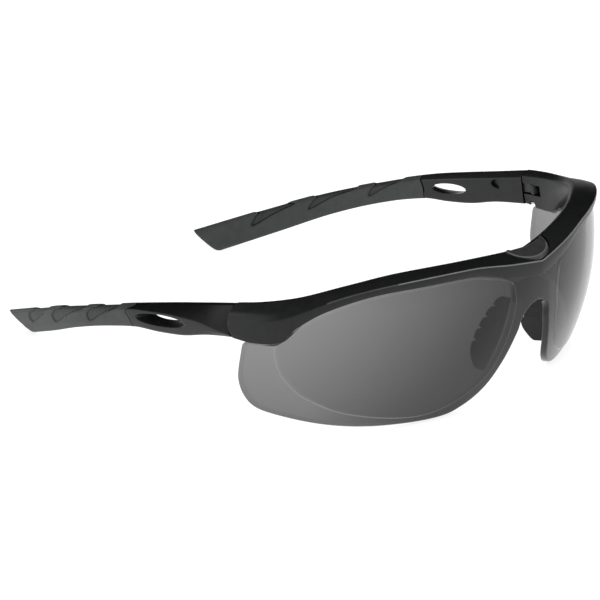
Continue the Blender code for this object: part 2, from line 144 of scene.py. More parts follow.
# Cap on the bridge.
CAP_HALF_WIDTH = 8.6
CAP_FRONT_Y = -59.0
CAP_REAR_Y = -52.6
CAP_THICK = 1.2
CAP_SLOPE = 27.0
CAP_LEVEL = 14.2
CAP_STEPS = (
    (0.0, -1.2), (0.0, -0.78), (-0.16, -0.74), (-0.2, -0.5), (-0.36, -0.46), (-0.4, -0.22), (-0.55, -0.18),
    (-0.75, 0.0), (-1.3, 0.06),
)
# Steps of the cap's rim whose faces carry a painted highlight.
CAP_HIGHLIGHT_STEPS = (1, 3, 5, 6)
CAP_REAR_BOW = 0.9
CAP_REAR_STATIONS = 8
CAP_CLEARANCE = 8.0

# Nose clip and pads behind the shield.
CLIP_HALF_ANGLE = 5.5
CLIP_Z = (-2.4, 3.6)
CLIP_THICK = 2.0
CLIP_STATIONS = 24
PAD_Z = (-0.4, -22.0)
PAD_FRONT_X = ((0, 8.2), (0.5, 10.8), (1, 13.8))
PAD_SPLAY = -0.6
PAD_REAR_Y = ((0, -48.2), (0.25, -43.6), (0.55, -39.8), (0.8, -38.6), (1, -40.8))
PAD_THICK = 1.8
PAD_STANDOFF = 0.9
PAD_NOTCHES = (0.13, 0.29, 0.45, 0.62)
PAD_NOTCH_DEEP = 1.6
PAD_NOTCH_WIDE = 0.018
PAD_STATIONS = 110
PAD_ROOT = 0.6
PAD_END = 0.1
PAD_END_DEPTH = 0.72
PAD_END_THICK = 0.45

# Hinge: a tongue on each arm turns on a steel pin in the frame's slot.
HINGE_X = 67.0
HINGE_Y = -3.6
HINGE_Z = 6.2
PIN_RADIUS = 0.8
PIN_CLEARANCE = 0.2
PIN_Z = (2.0, 9.4)
PIN_HEAD_RADIUS = 1.5
PIN_HEAD_Z = (1.2, 2.0)
TONGUE_Z = (4.7, 7.7)
TONGUE_EYE_RADIUS = 1.8
TONGUE_X = (66.4, 68.8)
TONGUE_REAR_Y = 6.5
SLOT_FRONT_Y = -8.0
SLOT_OUTER_X = 69.4
SLOT_INNER_X = 60.0
SLOT_REAR_Y = 6.0
SINK_Z = -4.0

# Temples, as functions of the distance along them from the hinge seam.
ARM_START = 0.25
ARM_INNER_X = 65.6
GRIP_START = 42.0
TEMPLE_END = 125.0
TEMPLE_OUTER_X = (
    (0, 71.9), (14, 72.0), (28, 71.4), (42, 70.4), (60, 67.3), (80, 62.3), (102, 54.4), (125, 44.8),
)
TEMPLE_WIDTH = ((42, 4.8), (60, 4.4), (80, 4.0), (100, 3.4), (125, 2.5))
TEMPLE_TOP_Z = (
    (0, 11.4), (14, 9.8), (28, 8.1), (42, 6.1), (60, 2.7), (80, -1.6), (100, -6.9), (125, -14.1),
)
TEMPLE_BOTTOM_Z = (
    (0, 0.9), (12, 0.3), (22, -1.2), (32, -1.6), (42, -1.5), (60, -4.2), (80, -8.5), (100, -13.9),
    (125, -20.5),
)
CREASE_SHARE = (
    (0, 0.10), (7, 0.25), (14, 0.45), (20, 0.58), (27, 0.68), (42, 0.77), (60, 0.72), (125, 0.62),
)
LEAN_SHARE = ((0, 0.38), (12, 0.46), (27, 0.44), (42, 0.36), (125, 0.34))
INNER_TOP_DROP = 0.22
TIP_SLANT = 10.0
TIP_ROUND = (0.8, 1.5)
TIP_PINCH = 0.5
TIP_PINCH_LONG = 1.0
SLANT_TAIL = 30
UNDER_SHARE = 0.16
UNDER_MOST = 0.8
CREASE_SOFT = (0.35, 1.4)
CREASE_SOFT_REACH = (6, 8)
TEMPLE_CROWNS = {1: 0.1, 2: 0.12, 4: 0.05, 0: 0.08, 3: 0.1}
ARM_STATIONS = 110
# Faces of the arm's upper facet, which get painted shade.
ARM_SHADED_FACES = range(9, 18)
GRIP_STATIONS = 400
GRIP_SEGMENTS = 6
GRIP_FILL = 20

# The eye-shaped vent through each arm: its tips, and its half heights outside and inside.
VENT_OUTER = ((20.0, 2.9), (41.8, 2.2), 1.95)
VENT_INNER = ((23.5, 3.2), (37.6, 2.6), 1.75)
VENT_STATIONS = 24
VENT_DEPTHS = ((73.5, -0.15), (71.0, 0.0), (69.6, 0.45), (67.8, 0.85), (65.6, 1.0), (64.0, 1.05))

# The half-moon pocket in each arm's inner face.
MOON_Y = 9.5
MOON_Z = 6.6
MOON_RADIUS = 1.6
MOON_LONG = 3.2
MOON_DEEP = 1.1

# Teardrop recesses on each grip: distance along, and depth down the side as a share of its height.
# A share above 0 is on the outer face, and one below 0 is on the inner face.
TEARDROPS = (
    (
        (106.9, 0.50), (108.4, 0.28), (106.6, 0.10), (104.4, 0.02), (101.6, -0.03), (102.6, -0.22),
        (103.0, -0.46), (96.0, -0.26), (89.3, -0.10), (90.5, -0.01), (95.8, 0.10), (96.8, 0.22),
    ),
    (
        (88.2, 0.60), (90.2, 0.38), (88.0, 0.13), (84.4, 0.02), (81.2, -0.03), (82.6, -0.25), (83.5, -0.49),
        (75.0, -0.21), (67.7, -0.03), (68.9, 0.03), (73.4, 0.17), (80.6, 0.39),
    ),
    (
        (65.7, 0.66), (67.2, 0.40), (64.9, 0.12), (61.6, 0.02), (60.0, -0.03), (61.4, -0.28), (61.9, -0.53),
        (56.5, -0.28), (51.6, -0.06), (50.2, 0.02), (55.3, 0.23), (60.5, 0.44),
    ),
)
DROP_DEEP = 0.38
DROP_EDGE = 0.5
DROP_LINE = 0.35
DROP_LINE_WIDE = 0.34
HALF_TOP = 0.8
DROP_STEPS = 8

# Painted shade on the grip's rubber, in its scored lines and the recesses inside them: distances from a
# scored line, with the share of the rubber's colour left at each.
RECESS = "recess"
GROOVE_LINE_SHADE = (0.12, 0.26, 0.03, 1.0)
RECESS_INSIDE_SHADE = (-0.12, 0.12, 0.66, 1.0)
GRIP_SEAM = 0.3

# The smoke tint, whose alpha is painted light: distances from the middle in metres, and the alpha of one face
# at each.
# The panes' alpha is a painted gradient for reflections; the margin's and the rim's are painted shade,
# darkest at the nose.
SMOKE_SHADE = (0.012, 0.072, 0.86, 0.56)
MARGIN_SHADE = (0.010, 0.062, 0.95, 0.56)
# The bevel's alpha, under its painted highlight.
BEVEL_SHADE = (0.010, 0.066, 0.85, 0.56)
RIM_SHADE = (0.010, 0.052, 0.99, 0.60)
# The painted gradient with height: heights in metres, and the alpha added at each.
SMOKE_RISE = (0.005, 0.040, 0.05, -0.05)

# Base tones of the tint, and those of its bevels, which carry a painted highlight, and its rims, which carry
# painted shade.
SMOKE_TONE = (0.009, 0.012)
BEVEL_HIGHLIGHT_TONE = (0.10, 0.13)
RIM_SHADE_TONE = (0.006, 0.008)

# Moulded surfaces: the scales of clouding and of uneven roughness as shares of the grain's, and the
# grain's depth in metres.
CLOUD_SCALE = 0.05
PATCH_SCALE = 0.3
GRAIN_DEPTH = 0.00004

# The table glows a little, so that it stays pale under the object.
FLOOR_GLOW = 0.80
FLOOR_HALF = 6.0
WORLD_LIGHT = 1.2

# Camera, as an aim point in worn millimetres, turns in degrees and a distance in metres.
CAMERA_AIM = (-21.04, 19.82, -5.61)
CAMERA_TURNS = (-46.8, 72.52, -7.14)
CAMERA_FAR = 1.269
CAMERA_LENS = 250.7
SENSOR = 36.0


# ---------------------------------------------------------------- placing


def place_from(frame):
    """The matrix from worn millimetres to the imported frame, read from the left hinge."""
    joint = next(j for j in frame["joints"] if j["name"] == "fold_left")
    up = Vector(joint["axis"]).normalized()
    across = Vector((1, 0, 0))
    turn = Matrix((across, up.cross(across), up)).transposed().to_4x4()
    hinge = turn @ Vector((HINGE_X, HINGE_Y, HINGE_Z)) * MM
    return Matrix.Translation(Vector(joint["pos_m"]) - hinge) @ turn @ Matrix.Scale(MM, 4)


def along(stations, place):
    """A smooth curve through the stations, read at one place. It stays level past both ends."""
    if place <= stations[0][0]:
        return stations[0][1]
    if place >= stations[-1][0]:
        return stations[-1][1]
    last = len(stations) - 1
    i = next(k for k in range(last) if place <= stations[k + 1][0])
    slopes = []
    for k in (i, i + 1):
        before, after = stations[max(k - 1, 0)], stations[min(k + 1, last)]
        slopes.append((after[1] - before[1]) / (after[0] - before[0]))
    (a, low), (b, high) = stations[i], stations[i + 1]
    u = (place - a) / (b - a)
    return (
        low * (2 * u**3 - 3 * u**2 + 1)
        + high * (3 * u**2 - 2 * u**3)
        + slopes[0] * (b - a) * (u**3 - 2 * u**2 + u)
        + slopes[1] * (b - a) * (u**3 - u**2)
    )


def step(low, high, place):
    """0 below low, 1 above high, and smooth between them."""
    u = min(max((place - low) / (high - low), 0.0), 1.0)
    return u * u * (3 - 2 * u)


# ---------------------------------------------------------------- surfaces


def brow_point(angle, inward, z):
    """A point on the brow ellipse at an angle from the centre, or that far inside it."""
    t = math.radians(angle)
    x = (BROW_HALF_WIDTH - inward) * math.sin(t)
    return Vector((x, BROW_Y - (BROW_DEPTH - inward) * math.cos(t), z))


def shield_point(angle, inward, z):
    """A point on the shield's front face, or that far behind it."""
    down = z - SHIELD_LEVEL
    point = brow_point(angle, SHIELD_IN + inward, z)
    point.x -= SHIELD_FLARE * down * math.sin(math.radians(angle))
    point.y += SHIELD_BOW * down * down - SHIELD_LEAN * down
    return point


def groove_depth(angle):
    return GROOVE_DEEP + (GROOVE_SHALLOW - GROOVE_DEEP) * step(*GROOVE_END, abs(angle))


# ---------------------------------------------------------------- mesh helpers


def rounded(corners, radii, segments=4, crowns=None, fill=3):
    """A closed outline with round corners, whose sides can bow outwards by their crown."""
    count = len(corners)
    middle = sum(corners, Vector()) / count
    found = []
    for i, (corner, radius) in enumerate(zip(corners, radii)):
        before, after = corners[i - 1], corners[(i + 1) % count]
        start = corner + (before - corner).normalized() * min(radius, 0.45 * (before - corner).length)
        end = corner + (after - corner).normalized() * min(radius, 0.45 * (after - corner).length)
        for k in range(segments + 1):
            u = k / segments
            found.append(start * (1 - u) ** 2 + corner * 2 * u * (1 - u) + end * u * u)
        crown = crowns.get(i) if crowns else None
        if crown is None:
            continue
        reach = min(radii[(i + 1) % count], 0.45 * (after - corner).length)
        stop = after + (corner - after).normalized() * reach
        side = stop - end
        out = (end + stop) / 2 - middle
        out = (out - side * (out.dot(side) / side.length_squared)).normalized()
        for k in range(1, fill + 1):
            u = k / (fill + 1)
            found.append(end + side * u + out * crown * 4 * u * (1 - u))
    return found


def build(name, points, faces, paints=(), slots=None, recess=None):
    """An object from worn points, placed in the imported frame, with a paint for each face.

    recess gives each point's distance in millimetres from the nearest scored line.
    """
    mesh = bpy.data.meshes.new(name)
    mesh.from_pydata([tuple(PLACE @ Vector(p)) for p in points], [], faces)
    for material in paints:
        mesh.materials.append(material)
    if slots:
        mesh.polygons.foreach_set("material_index", slots)
    if recess is not None:
        mesh.attributes.new(RECESS, "FLOAT", "POINT").data.foreach_set("value", recess)
    obj = bpy.data.objects.new(name, mesh)
    bpy.context.scene.collection.objects.link(obj)
    bm = bmesh.new()
    bm.from_mesh(mesh)
    bmesh.ops.remove_doubles(bm, verts=bm.verts, dist=MERGE)
    bmesh.ops.recalc_face_normals(bm, faces=bm.faces)
    bm.to_mesh(mesh)
    bm.free()
    return obj


def tube(rings):
    """Points and faces of a closed body through rings of equal length."""
    count = len(rings[0])
    points = [p for ring in rings for p in ring]
    faces = []
    for r in range(len(rings) - 1):
        for i in range(count):
            j = (i + 1) % count
            faces.append((r * count + i, r * count + j, (r + 1) * count + j, (r + 1) * count + i))
    faces.append(tuple(range(count)))
    last = (len(rings) - 1) * count
    faces.append(tuple(range(last, last + count)))
    return points, faces


def loft(name, rings, paints=(), slots=None, ends=0, recess=None):
    """A closed body through rings.

    slots gives the paint of each side face, ring by ring, and ends that of both end faces.
    """
    points, faces = tube(rings)
    if slots:
        slots = slots + [ends, ends]
    return build(name, points, faces, paints, slots, recess)


def soften(obj, width, angle=50, segments=2):
    """Rounds the sharp edges, then smooths what is left."""
    bevel = obj.modifiers.new("edges", "BEVEL")
    bevel.width = width * MM
    bevel.segments = segments
    bevel.limit_method = "ANGLE"
    bevel.angle_limit = math.radians(angle)
    bevel.use_clamp_overlap = True
    bake(obj)
    smooth(obj)


def bake(obj):
    """Applies every modifier to the mesh."""
    bpy.context.view_layer.update()
    graph = bpy.context.evaluated_depsgraph_get()
    mesh = bpy.data.meshes.new_from_object(obj.evaluated_get(graph))
    obj.modifiers.clear()
    obj.data = mesh


def smooth(obj, angle=38):
    obj.data.shade_smooth()
    obj.data.set_sharp_from_angle(angle=math.radians(angle))
    weights = obj.modifiers.new("normals", "WEIGHTED_NORMAL")
    weights.keep_sharp = True


def cut(obj, cutters):
    for cutter in cutters:
        modifier = obj.modifiers.new(cutter.name, "BOOLEAN")
        modifier.operation = "DIFFERENCE"
        modifier.object = cutter
    bake(obj)
    for cutter in cutters:
        bpy.data.objects.remove(cutter, do_unlink=True)


def box_rings(low, high, side=1):
    rings = []
    for z in (low[2], high[2]):
        ring = [(low[0], low[1], z), (high[0], low[1], z), (high[0], high[1], z), (low[0], high[1], z)]
        rings.append([Vector((side * x, y, z)) for x, y, z in ring])
    return rings


def round_rings(centre, profile, sides=40):
    """Rings about an upright axis, from pairs of radius and height."""
    rings = []
    for radius, z in profile:
        ring = []
        for i in range(sides):
            turn = 2 * math.pi * i / sides
            x, y = centre[0] + radius * math.cos(turn), centre[1] + radius * math.sin(turn)
            ring.append(Vector((x, y, z)))
        rings.append(ring)
    return rings


def mirrored(rings, side):
    return [[Vector((side * p.x, p.y, p.z)) for p in ring] for ring in rings]


# ---------------------------------------------------------------- front frame


def seam_bow(point, reach):
    """How far a seam point bows back: all of it on the outer face, and none on the inner one."""
    return along(SEAM_BOW, point.z) * step(SEAM_INNER_X, SEAM_OUTER_X, abs(point.x)) * reach


def brow_ring(angle):
    side = abs(angle)
    lip = along(LIP_Z, side)
    roof = lip + groove_depth(side)
    top = along(TOP_EDGE_Z, side)
    inner = along(INNER_IN, side)
    sheet = SHIELD_THICK + GAP
    corners = [
        brow_point(angle, 0, along(CREASE_Z, side)),
        shield_point(angle, -GAP - LIP_WALL, lip),
        shield_point(angle, -GAP, lip),
        shield_point(angle, -GAP, roof),
        shield_point(angle, sheet, roof),
        shield_point(angle, sheet, lip),
        shield_point(angle, sheet + INNER_WALL, lip),
        brow_point(angle, inner, top - INNER_DROP),
        brow_point(angle, along(TOP_EDGE_IN, side), top),
    ]
    crease = CREASE_ROUND[0] + CREASE_ROUND[1] * step(*CREASE_ROUND_ANGLES, side)
    top_round = TOP_ROUND[0] + TOP_ROUND[1] * step(*TOP_ROUND_ANGLES, side)
    radii = [crease, *GROOVE_RADII, top_round]
    upper = FRAME_CROWN[0] * (CROWN_SHARE[0] + CROWN_SHARE[1] * step(*CROWN_ANGLES, side))
    crowns = {8: upper, 0: FRAME_CROWN[1], 6: LIP_CROWN}
    ring = rounded(corners, radii, FRAME_SEGMENTS, crowns, FRAME_SEGMENTS)
    edge = ring[0].y
    swell, flat = step(SEAM_Y - SEAM_REACH, SEAM_Y, edge), step(SEAM_Y - SEAM_FLAT, SEAM_Y, edge)
    for point in ring:
        point.y += flat * (edge - point.y) + seam_bow(point, swell)
    return ring


def hinge_cutters(side):
    tag = "left" if side > 0 else "right"
    slot = []
    for z in (TONGUE_Z[0] - GAP, TONGUE_Z[1] + GAP):
        corners = [
            Vector((SLOT_INNER_X, SLOT_FRONT_Y, z)),
            Vector((SLOT_OUTER_X, SLOT_FRONT_Y, z)),
            Vector((SLOT_OUTER_X, SLOT_REAR_Y, z)),
            Vector((SLOT_INNER_X, SLOT_REAR_Y, z)),
        ]
        slot.append(rounded(corners, [0.1, 1.2, 0.1, 0.1]))
    centre = (side * HINGE_X, HINGE_Y)
    hole = PIN_RADIUS + PIN_CLEARANCE
    bore = [(hole, PIN_HEAD_Z[1] - 1), (hole, PIN_Z[1] + GAP)]
    sink = [(PIN_HEAD_RADIUS + GAP, SINK_Z), (PIN_HEAD_RADIUS + GAP, PIN_HEAD_Z[1] + GAP)]
    return [
        loft(f"cut_slot_{tag}", mirrored(slot, side)),
        loft(f"cut_bore_{tag}", round_rings(centre, bore)),
        loft(f"cut_sink_{tag}", round_rings(centre, sink)),
    ]


def cap_outline(grow, level, stations=40):
    """A D in the sloping plane of the bridge, almost straight at the rear and round in front."""
    slope = math.tan(math.radians(CAP_SLOPE))
    ring = []
    for i in range(stations + 1):
        turn = math.pi * i / stations
        x = (CAP_HALF_WIDTH + grow) * math.cos(turn)
        y = CAP_REAR_Y - (CAP_REAR_Y - CAP_FRONT_Y + grow) * math.sin(turn)
        ring.append(Vector((x, y, CAP_LEVEL + level + slope * (y - CAP_REAR_Y))))
    for i in range(1, CAP_REAR_STATIONS):
        u = i / CAP_REAR_STATIONS
        x = -(CAP_HALF_WIDTH + grow) * (1 - 2 * u)
        y = CAP_REAR_Y + grow - CAP_REAR_BOW * math.sin(math.pi * u)
        ring.append(Vector((x, y, CAP_LEVEL + level + slope * (y - CAP_REAR_Y))))
    return ring


def front_frame():
    """The crease carries a painted highlight along its ridge, in two steps that end short of both hinges."""
    reach = math.degrees(math.acos((BROW_Y - SEAM_Y) / BROW_DEPTH))
    rings = [brow_ring(reach * (2 * i / FRAME_STATIONS - 1)) for i in range(FRAME_STATIONS + 1)]
    slots = []
    for i in range(FRAME_STATIONS):
        angle = reach * (2 * i / FRAME_STATIONS - 1)
        # The faces along the crease get a painted highlight, dim and then bright towards the centre.
        highlight = int(abs(angle) < HIGHLIGHT_END) + int(abs(angle) < BRIGHT_HIGHLIGHT_END)
        slots += [highlight if k in CREST_HIGHLIGHT_FACES else 0 for k in range(len(rings[0]))]
    obj = loft("front_frame_body", rings, (nylon, crest_painted_dim_highlight, crest_painted_highlight), slots)
    cutters = hinge_cutters(-1) + hinge_cutters(1)
    cutters.append(loft("cut_recess", [cap_outline(GAP, -CAP_THICK - GAP), cap_outline(GAP, CAP_CLEARANCE)]))
    cut(obj, cutters)
    soften(obj, width=0.16, angle=55)
    return obj


# ---------------------------------------------------------------- shield


def spread(points, count):
    """count + 1 points spread evenly along a polyline of angles and heights."""
    points = np.array(points, float)
    scale = np.array((DEGREE, 1.0))
    lengths = np.linalg.norm(np.diff(points, axis=0) * scale, axis=1)
    ends = np.concatenate([[0], np.cumsum(lengths)])
    at = np.linspace(0, ends[-1], count + 1)
    return np.stack([np.interp(at, ends, points[:, 0]), np.interp(at, ends, points[:, 1])], axis=1)


def curve(points, each=CURVE_STEPS):
    """A smooth open curve through the points, as a polyline."""
    points = [np.array(p, float) for p in points]
    found = []
    for i in range(len(points) - 1):
        p0 = points[i - 1] if i else 2 * points[0] - points[1]
        p1, p2 = points[i], points[i + 1]
        p3 = points[i + 2] if i + 2 < len(points) else 2 * points[-1] - points[-2]
        for k in range(each):
            u = k / each
            bend, twist = 2 * p0 - 5 * p1 + 4 * p2 - p3, 3 * p1 - p0 - 3 * p2 + p3
            found.append(0.5 * (2 * p1 + (p2 - p0) * u + bend * u**2 + twist * u**3))
    found.append(points[-1])
    return found


def shield_sides():
    """The outline of the shield's left half in four sides, and the pane's outline in four that match."""
    top = []
    for angle in np.linspace(SHIELD_TAB - 1, 0, 90):
        top.append((angle, along(LIP_Z, angle) + groove_depth(angle) - GAP))
    arch = []
    for turn in np.linspace(0, math.pi / 2, 18):
        across = NOTCH_RADIUS * math.sin(turn) / (BROW_HALF_WIDTH - SHIELD_IN)
        arch.append((math.degrees(math.asin(across)), NOTCH_TOP - NOTCH_RADIUS * (1 - math.cos(turn))))
    nose = [(0.0, along(LIP_Z, 0) + groove_depth(0) - GAP), *arch]
    outline = curve([arch[-1], *SHIELD_BOTTOM, *SHIELD_OUTER[1:-1]])
    corner = CURVE_STEPS * len(SHIELD_BOTTOM)
    nose += outline[1 : NOSE_POINTS + 1]
    bottom = outline[NOSE_POINTS : corner + 1]
    outer = outline[corner:] + [SHIELD_OUTER[-1], top[0]]
    lip_line = [(a, along(LIP_Z, a) - PANE_LIP_GAP) for a in np.linspace(*PANE_LIP_ANGLES, 60)]
    pane_outer = curve(PANE_OUTER)
    pane_top = [PANE_OUTER[-1], *lip_line, *curve(PANE_TOP_NEAR)]
    return (nose, bottom, outer, top), (curve(PANE_NOSE), curve(PANE_BOTTOM), pane_outer, pane_top)


def coons(sides, across, up):
    """A grid of points inside four sides, which run round it in turn."""
    left, low, right, high = sides
    grid = np.zeros((up + 1, across + 1, 2))
    left = left[::-1]
    high = high[::-1]
    for r in range(up + 1):
        v = r / up
        for c in range(across + 1):
            u = c / across
            sides_mix = (1 - v) * low[c] + v * high[c] + (1 - u) * left[r] + u * right[r]
            corners = (1 - u) * (1 - v) * low[0] + u * (1 - v) * low[-1]
            corners = corners + (1 - u) * v * high[0] + u * v * high[-1]
            grid[r, c] = sides_mix - corners
    return grid


def inset(loop, amount, fixed=None):
    """A closed loop of angles and heights, moved inwards by millimetres."""
    scale = np.array((DEGREE, 1.0))
    flat = loop * scale
    ahead, behind = np.roll(flat, -1, axis=0), np.roll(flat, 1, axis=0)
    run = ahead - behind
    run /= np.maximum(np.linalg.norm(run, axis=1, keepdims=True), 1e-9)
    normal = np.stack([-run[:, 1], run[:, 0]], axis=1)
    if fixed is not None:
        normal[fixed, 0] = 0
        length = np.linalg.norm(normal[fixed], axis=1, keepdims=True)
        normal[fixed] = np.where(length > 0.5, normal[fixed] / np.maximum(length, 1e-9), 0)
    return (flat + normal * amount) / scale


def shield_half(side):
    """Points, faces and each face's paint of one half, open along the middle."""
    up, across = SHIELD_ROWS, SHIELD_COLUMNS
    outline, pane = shield_sides()
    counts = (up, across, up, across)
    outer_sides = [spread(s, n) for s, n in zip(outline, counts)]
    pane_sides = [spread(s, n) for s, n in zip(pane, counts)]
    loop = np.concatenate([s[:-1] for s in outer_sides])
    pane_loop = np.concatenate([s[:-1] for s in pane_sides])
    middle = loop[:, 0] < 1e-6
    points, faces = [], []

    def ring(flat, inward):
        start = len(points)
        for i, (angle, z) in enumerate(flat):
            depth = inward if np.isscalar(inward) else inward[i]
            p = shield_point(angle, depth, z)
            points.append(Vector((side * p.x, p.y, p.z)))
        return start

    def strip(a, b, count, skip=None):
        for i in range(count):
            j = (i + 1) % count
            if skip is not None and skip[i] and skip[j]:
                continue
            faces.append((a + i, a + j, b + j, b + i))

    count = len(loop)
    edges = []
    for turn in np.linspace(0, math.pi / 2, 4):
        edges.append((SHIELD_EDGE * (1 - math.sin(turn)), SHIELD_EDGE * (1 - math.cos(turn))))
    front_edge = inset(loop, edges[0][0], middle)
    last = ring(front_edge, 0.0)
    first_front = last
    for amount, depth in edges[1:]:
        now = ring(inset(loop, amount, middle), depth)
        strip(last, now, count, middle)
        last = now
    for amount, depth in reversed(edges):
        now = ring(inset(loop, amount, middle), SHIELD_THICK - depth)
        strip(last, now, count, middle)
        last = now
    first_back = last
    foot = inset(pane_loop, 0.0)
    ledge = inset(pane_loop, PANE_RISE)
    # Paint 3 is the rim's painted shade, 1 the margin's painted shade and 2 the bevel's painted highlight.
    slots = [3] * len(faces)
    for start, target, depth in ((first_front, foot, 0.0), (first_back, foot, SHIELD_THICK)):
        last = start
        for k in range(1, SHIELD_MARGIN_ROWS + 1):
            u = k / SHIELD_MARGIN_ROWS
            now = ring(front_edge * (1 - u) + target * u, depth)
            strip(last, now, count)
            last = now
        slots += [1] * (len(faces) - len(slots))
        rise = 0.0
        if depth == 0.0:
            for share, lift in PANE_BEVEL:
                now = ring(foot * (1 - share) + ledge * share, -PANE_RISE * lift)
                strip(last, now, count)
                last = now
            slots += [2] * (len(faces) - len(slots))
            rise = -PANE_RISE
        edge_loop = ledge if depth == 0.0 else foot
        starts = np.cumsum((0, *counts))
        four = [np.concatenate([edge_loop, edge_loop[:1]])[a : b + 1] for a, b in zip(starts, starts[1:])]
        grid = coons(four, across, up)
        base = len(points)
        for r in range(up + 1):
            for c in range(across + 1):
                p = shield_point(grid[r, c, 0], depth + rise, grid[r, c, 1])
                points.append(Vector((side * p.x, p.y, p.z)))
        for r in range(up):
            for c in range(across):
                a = base + r * (across + 1) + c
                faces.append((a, a + 1, a + across + 2, a + across + 1))
        slots += [0] * (len(faces) - len(slots))
    return points, faces, slots


def shield():
    """One sheet in four tones: the panes, the margin round them, the bevel between and the rim. The panes
    fade as a painted gradient for reflections, the margin and rim carry painted shade and the bevel a painted
    highlight.
    """
    points, faces, slots = shield_half(1)
    others, more, _ = shield_half(-1)
    shift = len(points)
    faces += [tuple(shift + i for i in face) for face in more]
    # The margin and rim carry painted shade, the bevel a painted highlight and the panes a painted gradient
    # for reflections.
    paints = (
        smoke("shield_pane_painted_gradient", SMOKE_SHADE),
        smoke("shield_margin_painted_shade", MARGIN_SHADE),
        smoke("shield_bevel_painted_highlight", BEVEL_SHADE, BEVEL_HIGHLIGHT_TONE),
        smoke("shield_rim_painted_shade", RIM_SHADE, RIM_SHADE_TONE),
    )
    obj = build("shield_smoke", points + others, faces, paints, slots * 2)
    obj.data.shade_smooth()
    return obj


# ---------------------------------------------------------------- bridge and nose


def bridge_cap():
    """Three fine steps run round the cap's edge, under a slightly crowned top. Some of their faces carry a
    painted highlight.
    """
    rings = [cap_outline(grow, level) for grow, level in CAP_STEPS]
    slots = []
    for k in range(len(rings) - 1):
        slots += [1 if k in CAP_HIGHLIGHT_STEPS else 0] * len(rings[0])
    obj = loft("bridge_cap_plate", rings, (cap_nylon, cap_painted_rim_highlight), slots)
    smooth(obj, angle=30)
    return obj


def nose_clip():
    """A plate behind the bridge, which holds the two nose pads."""
    rings = []
    low, high = CLIP_Z
    near, far = SHIELD_THICK + GAP, SHIELD_THICK + GAP + CLIP_THICK
    for i in range(CLIP_STATIONS + 1):
        angle = CLIP_HALF_ANGLE * (2 * i / CLIP_STATIONS - 1)
        section = ((high, near), (low, near), (low, far), (high, far))
        corners = [shield_point(angle, depth, z) for z, depth in section]
        rings.append(rounded(corners, [0.3, 0.3, 0.6, 0.6]))
    obj = loft("nose_clip_body", rings)
    soften(obj, width=0.2)
    return obj


def nose_pad(side):
    """A soft blade from the shield's back face towards the nose, with a lobed rear edge."""
    rings = []
    for i in range(PAD_STATIONS + 1):
        v = i / PAD_STATIONS
        z = PAD_Z[0] + (PAD_Z[1] - PAD_Z[0]) * v
        front_x = along(PAD_FRONT_X, v)
        angle = math.degrees(math.asin(front_x / (BROW_HALF_WIDTH - SHIELD_IN)))
        front_y = shield_point(angle, SHIELD_THICK, z).y + PAD_STANDOFF
        notch = sum(math.exp(-(((v - at) / PAD_NOTCH_WIDE) ** 2)) for at in PAD_NOTCHES)
        rear_x, rear_y = front_x + PAD_SPLAY, along(PAD_REAR_Y, v) - PAD_NOTCH_DEEP * notch
        past = max(abs(2 * v - 1) - 1 + PAD_END, 0) / PAD_END
        end = math.sqrt(max(1 - past**2, 0.0))
        root = front_y + PAD_ROOT
        rear_y = root + (rear_y - root) * (PAD_END_DEPTH + (1 - PAD_END_DEPTH) * end)
        thick = PAD_THICK * (PAD_END_THICK + (1 - PAD_END_THICK) * end)
        across = Vector((front_y - rear_y, rear_x - front_x, 0)).normalized() * thick
        front, rear = Vector((front_x, front_y, z)), Vector((rear_x, rear_y, z))
        middle = (front + rear) / 2
        corners = [front, middle, rear, rear - across * 0.6, middle - across, front - across]
        rings.append(rounded(corners, [0.4, 0.8, 0.5, 0.5, 0.8, 0.4], 3))
    tag = "left" if side > 0 else "right"
    obj = loft(f"nose_pad_blade_{tag}", mirrored(rings, side))
    soften(obj, width=0.2)
    return obj


# ---------------------------------------------------------------- temples


